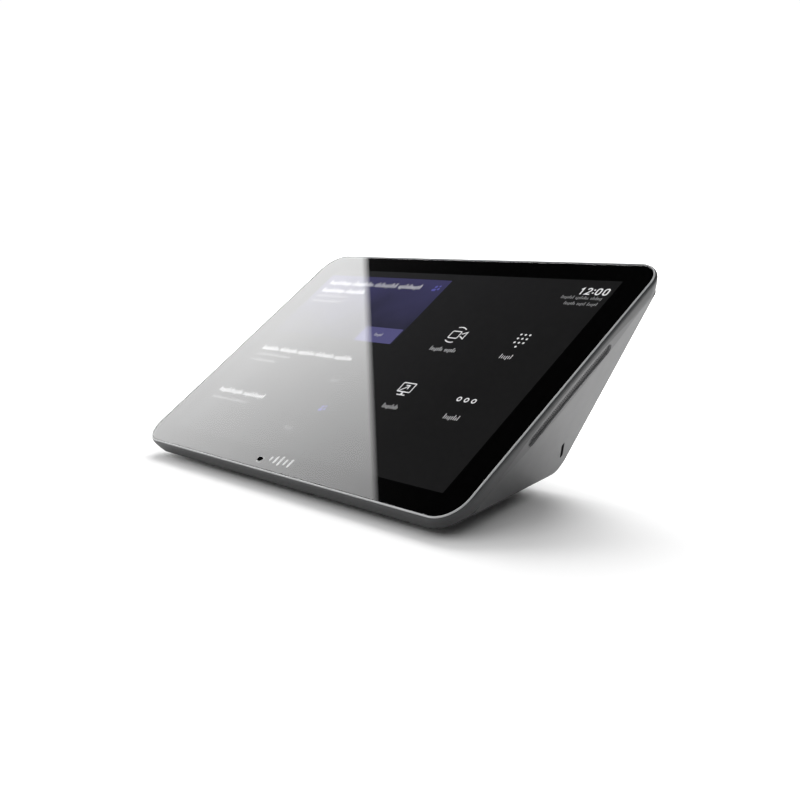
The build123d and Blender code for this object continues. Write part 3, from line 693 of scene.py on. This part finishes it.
def screen_symbols(panel):
    low = PICTURE_DEPTH + 2 * LAYER_T
    white = glow("screen_symbol_white", (0.82, 0.82, 0.83)).material
    violet = glow("screen_accent_violet", (0.1, 0.1, 0.36)).material
    symbols = {
        "camera_symbol": camera_symbol(28.6, 18.3), "keypad_symbol": keypad_symbol(62.3, 18.5),
        "share_symbol": share_symbol(28.1, -13.1), "more_symbol": ring_symbols(61.6, -13.7),
        "clock_digits": clock_digits(83.2, 47.8),
    }
    for name, loops in symbols.items():
        flat_piece("screen_" + name, loops, low, low + LAYER_T, panel, white)
    accents = people_symbol(-7.0, 44.7, 1.9) + people_symbol(-5.8, -29.4, 1.7)
    flat_piece("screen_people_symbols", accents, low, low + LAYER_T, panel, violet)


def bead(name, width, height, radius, profile, place, material):
    """A closed frame: (distance beyond the outline, height) pairs led round a rounded rectangle."""
    vertices = []
    for out, rise in profile:
        ring = round_loop(0, 0, width + 2 * out, height + 2 * out, radius + out, BEAD_CORNER_STEPS)
        vertices += [(x * MM, y * MM, rise * MM) for x, y in ring]
    count = len(vertices) // len(profile)
    faces = []
    for row in range(len(profile)):
        here = row * count
        there = (row + 1) % len(profile) * count
        for step in range(count):
            after = (step + 1) % count
            faces.append((here + step, there + step, there + after, here + after))
    mesh = bpy.data.meshes.new(name)
    mesh.from_pydata(vertices, [], faces)
    mesh.transform(place)
    made = piece(name, mesh, material)
    smooth(made, 50)
    return made


def glass_trim(panel, materials):
    """The slim rounded bead that frames the glass."""
    trim = bead("glass_trim", GLASS_W, GLASS_H, GLASS_R, TRIM_PROFILE, panel, materials["trim"])
    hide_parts("trim_ring")


def groove_grilles(panel, materials):
    """The pierced strips on the floors of the side grooves, dark partly as painted shade, each in a slim
    frame painted lighter grey as a painted highlight for the lit groove wall.
    """
    turn = math.radians(GROOVE_TURN)
    # The lining's light grey is a painted highlight: it stands for the light falling on the groove's lower
    # wall.
    lining_highlight_shader = Shader("groove_lining_painted_highlight", (0.15, 0.151, 0.154), 0.45)
    lining = lining_highlight_shader.mottle(4.0, 0.05).grain(0.3, 0.05).material
    for name, side in (("left", -1), ("right", 1)):
        out = Vector((side * math.cos(turn), 0, -math.sin(turn)))
        along = Vector((0, 1, 0))
        across = out.cross(along)
        axes = Matrix((along, across, out)).transposed().to_4x4()
        corner = Vector((side * CREASE_X, GROOVE_Y, CREASE_DEPTH)) * MM
        loops = [round_loop(0, 0, GRILLE_LENGTH, GRILLE_W, GRILLE_W / 2, 10)]
        for row in (-1, 0, 1):
            count = HOLE_COUNT - row % 2
            for index in range(count):
                x = (index - (count - 1) / 2) * HOLE_PITCH
                loops.append(circle_loop(x, row * HOLE_PITCH * 0.87, HOLE_R, 8))
        place = panel @ Matrix.Translation(corner) @ axes
        grille = flat_piece("groove_grille_" + name, loops, GROOVE_FLOOR, GROOVE_FLOOR + GRILLE_T, place,
                            materials["mesh"])
        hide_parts("slot_mesh_" + name)
        bead("groove_lining_" + name, GRILLE_LENGTH, GRILLE_W, GRILLE_W / 2, LINING_PROFILE, place,
             lining)


def foot_pads(materials):
    """Turned rubber feet with an eased edge and a ring in the tread."""
    low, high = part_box("rubber_feet")
    front = low.y / MM + FOOT_R
    rear = high.y / MM - FOOT_R
    half = high.x / MM - FOOT_R
    centres = [(half, front), (-half, front), (REAR_FOOT_X, rear), (-REAR_FOOT_X, rear)]
    profile = [(1.6, 0.28), (2.0, 0.05), (2.6, 0.0), (4.3, 0.0), (4.55, 0.14), (4.8, 0.14), (5.05, 0.0),
               (FOOT_R - 0.55, 0.0), (FOOT_R - 0.2, 0.12), (FOOT_R, 0.5), (FOOT_R, high.z / MM)]
    pads = lathe("foot_pads", centres, profile, materials["rubber"])
    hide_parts("rubber_feet")


def label_print():
    """Generic bars and boxes printed on the rating label, none of them readable."""
    low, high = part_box("rating_label")
    face = Vector(((low.x + high.x) / 2, (low.y + high.y) / 2, low.z))
    place = Matrix.Translation(face) @ Matrix.Rotation(math.pi, 4, "X")
    loops = [round_loop(-24.5, 0.5, 8.5, 8.5, 0.6), round_loop(-24.5, 0.5, 6.9, 6.9, 0.3)]
    for row, end in enumerate((14.0, 4.5, 20.5, 10.0, -2.0)):
        loops.append(bar_loop(LABEL_TEXT_LEFT, LABEL_TEXT_TOP - row * LABEL_LINE, end, LABEL_BAR_H))
    for column in range(3):
        loops.append(circle_loop(14.0 + column * 6.4, -7.6, 2.2))
        loops.append(circle_loop(14.0 + column * 6.4, -7.6, 1.6))
    ink = Shader("label_print_dark", (0.045, 0.045, 0.048), 0.6).mottle(3.0, 0.06).grain(0.5, 0.05)
    flat_piece("label_print", loops, 0.0, LABEL_RAISE, place, ink.material)


def light_card():
    """A tall softbox to the left, seen only in reflections, with a soft upper edge."""
    corners = []
    for y in (CARD_NEAR, CARD_FAR):
        corners.append((CARD_X, y, 2.0))
        corners.append((CARD_X, y, CARD_EDGE_Z + CARD_EDGE_SLOPE * y))
    mesh = bpy.data.meshes.new("softbox_card")
    mesh.from_pydata([tuple(part * MM for part in corner) for corner in corners], [], [(0, 2, 3, 1)])
    card = bpy.data.objects.new("softbox_card", mesh)
    bpy.context.scene.collection.objects.link(card)
    shader = Shader("softbox_face", (0.0, 0.0, 0.0), 1.0)
    shader.set("Specular IOR Level", 0.0)
    level = shader.ramp(shader.along((0.0, 1.0, -CARD_TURN)), CARD_DIM, CARD_BRIGHT,
                        CARD_DIM_AT * MM, CARD_BRIGHT_AT * MM)
    height = shader.along((0.0, -CARD_EDGE_SLOPE, 1.0))
    edge = shader.ramp(height, 1.0, 0.0, (CARD_EDGE_Z - CARD_EDGE_SOFT) * MM, CARD_EDGE_Z * MM)
    shader.set("Emission Color", (1.0, 1.0, 1.0, 1.0))
    total = shader.node("ShaderNodeMath", operation="MULTIPLY")
    shader.link(level, total.inputs[0])
    shader.link(edge, total.inputs[1])
    shader.link(total.outputs[0], shader.shader.inputs["Emission Strength"])
    card.data.materials.append(shader.material)
    card.visible_camera = False
    card.visible_diffuse = False
    card.visible_shadow = False


def soft_sun(name, turn, high, width, strength):
    """A very wide distant light, which lights the whole floor evenly and isn't mirrored in the glass."""
    data = bpy.data.lights.new(name, "SUN")
    data.angle = math.radians(width)
    data.energy = strength
    light = bpy.data.objects.new(name, data)
    bpy.context.scene.collection.objects.link(light)
    high = math.radians(high)
    turn = math.radians(turn)
    towards = Vector((math.cos(high) * math.cos(turn), math.cos(high) * math.sin(turn), math.sin(high)))
    light.rotation_euler = towards.to_track_quat("Z", "Y").to_euler()
    light.visible_glossy = False


def floor():
    half = FLOOR_SIZE / 2
    mesh = bpy.data.meshes.new("studio_floor")
    corners = [(-half, -half, 0), (half, -half, 0), (half, half, 0), (-half, half, 0)]
    mesh.from_pydata(corners, [], [(0, 1, 2, 3)])
    sheet = bpy.data.objects.new("studio_floor", mesh)
    bpy.context.scene.collection.objects.link(sheet)
    pale = Shader("floor_pale", (0.93, 0.93, 0.93), 0.9)
    pale.set("Specular IOR Level", 0.1)
    pale.set("Emission Color", (1.0, 1.0, 1.0, 1.0))
    # The floor's emission rises behind the object: a painted pool of light, which also lights the flank.
    pale.link(pale.ramp(pale.along((0.0, 1.0, 0.0)), 0.0, GLOW_BEHIND, GLOW_START, GLOW_END),
              pale.shader.inputs["Emission Strength"])
    sheet.data.materials.append(pale.material)


def backdrop():
    """A white dome far round the object. Only the camera sees it, so it adds no light and no reflection."""
    mesh = bpy.data.meshes.new("studio_backdrop")
    build = bmesh.new()
    bmesh.ops.create_uvsphere(build, u_segments=48, v_segments=24, radius=DOME_R)
    build.to_mesh(mesh)
    build.free()
    dome = bpy.data.objects.new("studio_backdrop", mesh)
    bpy.context.scene.collection.objects.link(dome)
    white = Shader("backdrop_white", (0.0, 0.0, 0.0), 1.0)
    white.set("Emission Color", (1.0, 1.0, 1.0, 1.0))
    white.set("Emission Strength", 1.0)
    dome.data.materials.append(white.material)
    dome.visible_diffuse = False
    dome.visible_glossy = False
    dome.visible_transmission = False
    dome.visible_shadow = False


def sky():
    """Dim all round and dark overhead, so that the glass stays black where the softbox doesn't reach."""
    world = bpy.data.worlds.new("studio_sky")
    bpy.context.scene.world = world
    world.use_nodes = True
    nodes, links = world.node_tree.nodes, world.node_tree.links
    direction = nodes.new("ShaderNodeTexCoord").outputs["Generated"]
    split = nodes.new("ShaderNodeSeparateXYZ")
    links.new(direction, split.inputs[0])
    height = nodes.new("ShaderNodeMapRange")
    height.inputs["From Min"].default_value = SKY_FADE_START
    height.inputs["From Max"].default_value = SKY_FADE_END
    height.inputs["To Min"].default_value = SKY_LOW
    height.inputs["To Max"].default_value = SKY_OVERHEAD
    links.new(split.outputs["Z"], height.inputs["Value"])
    links.new(height.outputs["Result"], nodes["Background"].inputs["Strength"])
    nodes["Background"].inputs["Color"].default_value = (1.0, 1.0, 1.0, 1.0)


def studio():
    floor()
    backdrop()
    sky()
    soft_sun("key_sun", KEY_TURN, KEY_HIGH, KEY_WIDTH, KEY_STRENGTH)
    soft_sun("fill_sun", FILL_TURN, FILL_HIGH, FILL_WIDTH, FILL_STRENGTH)
    light_card()


def camera():
    data = bpy.data.cameras.new("photo_view")
    data.lens = CAMERA_LENS
    data.shift_x, data.shift_y = CAMERA_SHIFT
    data.clip_start = 0.01
    view = bpy.data.objects.new("photo_view", data)
    bpy.context.scene.collection.objects.link(view)
    view.location = Vector(CAMERA_PLACE) * MM
    view.rotation_euler = (math.radians(90 + CAMERA_PITCH), 0, math.radians(CAMERA_TURN))
    bpy.context.scene.camera = view


def colour_management():
    """Plain display colours, so that a white floor is white."""
    bpy.context.scene.view_settings.view_transform = "Standard"
    bpy.context.scene.view_settings.look = "None"


def main():
    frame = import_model()
    camera()
    colour_management()
    studio()
    materials = make_materials()
    dress_nodes(frame, materials)
    panel = panel_frame(frame)
    ink_border(panel)
    maker_mark(panel)
    screen_sheets(panel)
    screen_writing(panel)
    screen_symbols(panel)
    glass_trim(panel, materials)
    groove_grilles(panel, materials)
    foot_pads(materials)
    label_print()


main()
